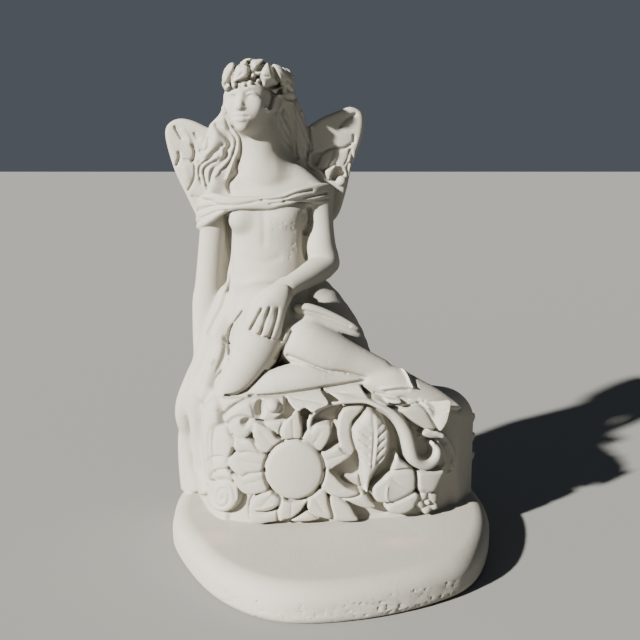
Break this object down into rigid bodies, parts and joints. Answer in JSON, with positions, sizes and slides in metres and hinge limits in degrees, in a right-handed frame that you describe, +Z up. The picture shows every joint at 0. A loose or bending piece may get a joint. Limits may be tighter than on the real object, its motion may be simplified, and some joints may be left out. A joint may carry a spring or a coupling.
{
  "type": "fairy garden statue",
  "caption": "Cast garden statue of a seated winged fairy with a blossom wreath, on a stump carved with flowers and leaves over an oval slab",
  "frame": {"origin": "middle of the flat underside of the slab, on the surface that the statue stands on", "axes": "+Z up, -Y towards the viewer of the carved front, +X to the viewer's right"},
  "size_m": [0.3915, 0.4116, 0.5637],
  "materials": {
    "cast_stone": "pale unpainted cast concrete, matte and fine grained"
  },
  "bodies": {
    "root": {"fairy_statue": "cast_stone"}
  },
  "joints": []
}
